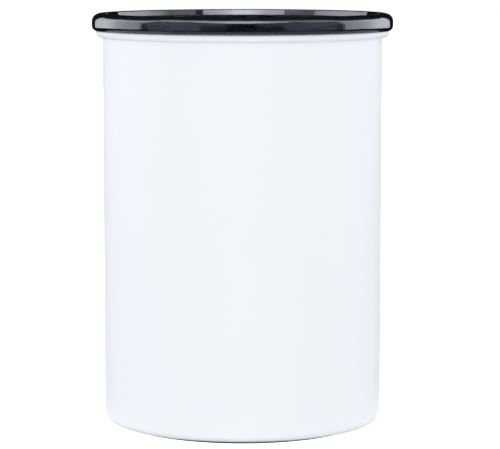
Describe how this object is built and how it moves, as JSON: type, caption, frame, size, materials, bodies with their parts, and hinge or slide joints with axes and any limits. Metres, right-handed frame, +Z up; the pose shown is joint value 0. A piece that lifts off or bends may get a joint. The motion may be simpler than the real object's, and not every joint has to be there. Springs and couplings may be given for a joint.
{
  "type": "coffee canister",
  "caption": "Cylindrical white coffee canister with a curled rim, a smoke-tinted lift-off lid and, inside, a sliding plunger lid whose folding handle opens an air valve.",
  "frame": {"origin": "middle of the foot, on the surface that the can stands on", "axes": "+Z up along the can's axis; -Y is the side towards which the plunger's handle folds"},
  "size_m": [0.13, 0.13, 0.1765],
  "materials": {
    "white_powder_coat": "matte",
    "bare_steel": "brushed",
    "smoke_tinted_plastic": "gloss",
    "black_moulded_plastic": "satin",
    "black_gloss_plastic": "gloss",
    "grey_silicone": "matte",
    "bright_steel": "satin",
    "white_acetal": "satin"
  },
  "bodies": {
    "canister": {"canister_shell": "white_powder_coat", "base_pan": "bare_steel"},
    "outer_lid": {"outer_lid": "smoke_tinted_plastic"},
    "plunger": {"plunger_dish": "black_moulded_plastic", "wiper_seal": "grey_silicone", "vent_cover": "black_gloss_plastic", "cover_screws": "bright_steel", "valve_guard": "black_moulded_plastic", "axle_bushes": "white_acetal", "valve_spring": "bright_steel"},
    "handle": {"handle_loop": "black_gloss_plastic", "handle_axle": "bright_steel", "valve_cam": "white_acetal"},
    "valve": {"valve_stem": "white_acetal", "valve_disc": "grey_silicone", "disc_washer": "bright_steel", "stem_clip": "bright_steel"}
  },
  "joints": [
    {"name": "lid_lift", "type": "slide", "parent": "canister", "child": "outer_lid", "axis": [0, 0, 1], "range_m": [0, 0.08]},
    {"name": "plunger_slide", "type": "slide", "parent": "canister", "child": "plunger", "axis": [0, 0, 1], "range_m": [-0.105, 0]},
    {"name": "handle_fold", "type": "hinge", "parent": "plunger", "child": "handle", "pos_m": [0, 0, 0.1363], "axis": [-1, 0, 0], "range_deg": [0, 90]},
    {"name": "valve_open", "type": "slide", "parent": "plunger", "child": "valve", "axis": [0, 0, -1], "range_m": [0, 0.0025], "stiffness_N_per_m": 150, "springref_m": -0.003, "deforming": ["valve_spring"]}
  ],
  "couplings": [
    {"joint": "handle_fold", "follows": "valve_open", "rad_per_m": 628.32}
  ]
}
